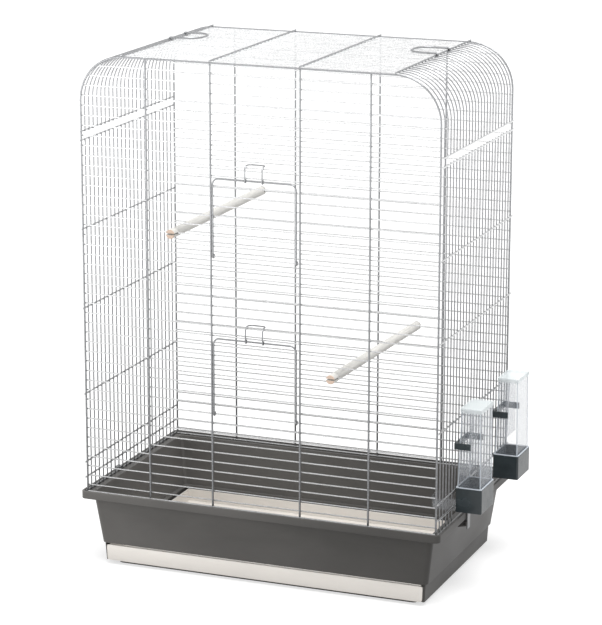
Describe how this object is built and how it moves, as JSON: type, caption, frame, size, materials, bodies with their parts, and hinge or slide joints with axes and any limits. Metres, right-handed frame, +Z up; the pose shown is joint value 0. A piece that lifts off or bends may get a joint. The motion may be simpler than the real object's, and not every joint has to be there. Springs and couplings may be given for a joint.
{
  "type": "bird cage",
  "caption": "Tall wire bird cage with a rounded roof, two flap doors, perches, clip-on side feeders and a deep plastic tray with a pull-out drawer.",
  "frame": {"origin": "centre of the flat resting face under the tray, at floor level", "axes": "+Z up, +X to the right seen from the front, +Y from the front with the doors to the back"},
  "size_m": [0.6152, 0.3527, 0.7951],
  "materials": {
    "zinc_wire": "zinc plated, satin",
    "grey_plastic": "moulded, satin",
    "cream_plastic": "moulded, smooth",
    "dark_plastic": "moulded, smooth",
    "clear_plastic": "clear styrene",
    "pale_wood": "bare, sanded"
  },
  "bodies": {
    "cage": {"tray_basin": "grey_plastic", "tray_base": "grey_plastic", "front_frame": "zinc_wire", "front_uprights": "zinc_wire", "front_sill": "zinc_wire", "front_bars": "zinc_wire", "back_frame": "zinc_wire", "back_uprights": "zinc_wire", "back_sill": "zinc_wire", "back_bars": "zinc_wire", "left_rails": "zinc_wire", "left_bars": "zinc_wire", "right_rails": "zinc_wire", "right_bars": "zinc_wire", "left_shoulder_bars": "zinc_wire", "right_shoulder_bars": "zinc_wire", "roof_bars": "zinc_wire", "roof_rails": "zinc_wire", "upper_perch": "pale_wood", "lower_perch": "pale_wood", "latch_pins": "zinc_wire", "front_feeder_holder": "dark_plastic", "rear_feeder_holder": "dark_plastic"},
    "drawer": {"drawer": "cream_plastic"},
    "upper_door": {"upper_door_frame": "zinc_wire", "upper_door_bars": "zinc_wire"},
    "lower_door": {"lower_door_frame": "zinc_wire", "lower_door_bars": "zinc_wire"},
    "upper_latch": {"upper_door_latch": "zinc_wire"},
    "lower_latch": {"lower_door_latch": "zinc_wire"},
    "left_handle": {"left_handle": "zinc_wire"},
    "right_handle": {"right_handle": "zinc_wire"},
    "left_side_latch": {"left_latch": "zinc_wire"},
    "right_side_latch": {"right_latch": "zinc_wire"},
    "front_feeder": {"front_feeder_cup": "dark_plastic", "front_feeder_dish": "clear_plastic"},
    "front_hopper": {"front_feeder_hopper": "clear_plastic"},
    "front_lid": {"front_feeder_lid": "clear_plastic"},
    "rear_feeder": {"rear_feeder_cup": "dark_plastic", "rear_feeder_dish": "clear_plastic"},
    "rear_hopper": {"rear_feeder_hopper": "clear_plastic"},
    "rear_lid": {"rear_feeder_lid": "clear_plastic"}
  },
  "joints": [
    {"name": "drawer_slide", "type": "slide", "parent": "cage", "child": "drawer", "axis": [0, -1, 0], "range_m": [0, 0.29]},
    {"name": "upper_door_hinge", "type": "hinge", "parent": "cage", "child": "upper_door", "pos_m": [-0.004, -0.16348, 0.503], "axis": [1, 0, 0], "range_deg": [0, 150]},
    {"name": "lower_door_hinge", "type": "hinge", "parent": "cage", "child": "lower_door", "pos_m": [-0.004, -0.16348, 0.263], "axis": [1, 0, 0], "range_deg": [0, 150]},
    {"name": "upper_latch_hinge", "type": "hinge", "parent": "upper_door", "child": "upper_latch", "pos_m": [-0.004, -0.16581, 0.619], "axis": [1, 0, 0], "range_deg": [0, 100]},
    {"name": "lower_latch_hinge", "type": "hinge", "parent": "lower_door", "child": "lower_latch", "pos_m": [-0.004, -0.16581, 0.379], "axis": [1, 0, 0], "range_deg": [0, 100]},
    {"name": "left_handle_hinge", "type": "hinge", "parent": "cage", "child": "left_handle", "pos_m": [-0.212, 0.03458, 0.79077], "axis": [0, -1, 0], "range_deg": [0, 120]},
    {"name": "right_handle_hinge", "type": "hinge", "parent": "cage", "child": "right_handle", "pos_m": [0.212, 0.03458, 0.79077], "axis": [0, 1, 0], "range_deg": [0, 120]},
    {"name": "left_side_latch_hinge", "type": "hinge", "parent": "cage", "child": "left_side_latch", "pos_m": [-0.2863, -0.044, 0.101], "axis": [0, -1, 0], "range_deg": [0, 80]},
    {"name": "right_side_latch_hinge", "type": "hinge", "parent": "cage", "child": "right_side_latch", "pos_m": [0.2863, -0.044, 0.101], "axis": [0, 1, 0], "range_deg": [0, 80]},
    {"name": "front_feeder_slide", "type": "slide", "parent": "cage", "child": "front_feeder", "axis": [1, 0, 0], "range_m": [0, 0.08]},
    {"name": "front_hopper_slide", "type": "slide", "parent": "front_feeder", "child": "front_hopper", "axis": [0, 0, 1], "range_m": [0, 0.16]},
    {"name": "front_lid_slide", "type": "slide", "parent": "front_hopper", "child": "front_lid", "axis": [0, 0, 1], "range_m": [0, 0.03]},
    {"name": "rear_feeder_slide", "type": "slide", "parent": "cage", "child": "rear_feeder", "axis": [1, 0, 0], "range_m": [0, 0.08]},
    {"name": "rear_hopper_slide", "type": "slide", "parent": "rear_feeder", "child": "rear_hopper", "axis": [0, 0, 1], "range_m": [0, 0.16]},
    {"name": "rear_lid_slide", "type": "slide", "parent": "rear_hopper", "child": "rear_lid", "axis": [0, 0, 1], "range_m": [0, 0.03]}
  ]
}
